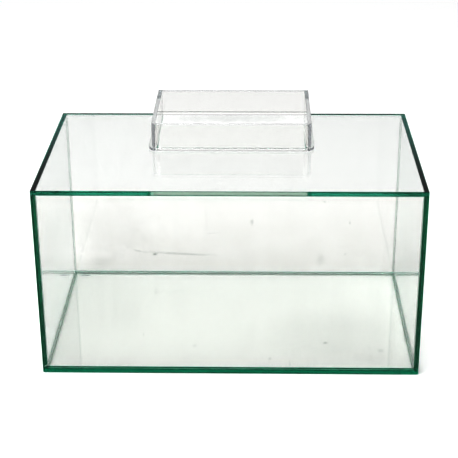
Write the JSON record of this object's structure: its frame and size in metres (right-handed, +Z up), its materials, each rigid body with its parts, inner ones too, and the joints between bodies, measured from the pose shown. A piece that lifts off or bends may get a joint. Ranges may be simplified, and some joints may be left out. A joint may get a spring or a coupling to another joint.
{
  "type": "glass hamster cage",
  "caption": "Rimless glass hamster cage: a bonded glass tank closed by a lift-off glass lid with an open acrylic hatch collar at its rear edge.",
  "frame": {"origin": "middle of the footprint, on the surface that the cage stands on", "axes": "+X along the tank's length to the right, +Y from the front to the rear, +Z up; the lid lifts along +Z"},
  "size_m": [0.45, 0.268, 0.269],
  "materials": {
    "float_glass": "clear soda-lime float glass, green at its ground edges",
    "silicone": "translucent, smooth, tooled by hand",
    "clear_acrylic": "clear cast acrylic with polished edges",
    "adhesive": "clear cured film"
  },
  "bodies": {
    "tank": {"base_pane": "float_glass", "front_pane": "float_glass", "rear_pane": "float_glass", "left_pane": "float_glass", "right_pane": "float_glass", "base_seal_front": "silicone", "base_seal_rear": "silicone", "base_seal_right": "silicone", "base_seal_left": "silicone", "corner_seal_front_left": "silicone", "corner_seal_front_right": "silicone", "corner_seal_rear_left": "silicone", "corner_seal_rear_right": "silicone", "sealant_smear": "silicone"},
    "lid": {"lid_plate": "float_glass", "collar_flange": "clear_acrylic", "collar_wrap": "clear_acrylic", "collar_rear_wall": "clear_acrylic", "collar_glue": "adhesive"}
  },
  "joints": [
    {"name": "lid_lift", "type": "slide", "parent": "tank", "child": "lid", "axis": [0, 0, 1], "range_m": [0, 0.25]}
  ]
}
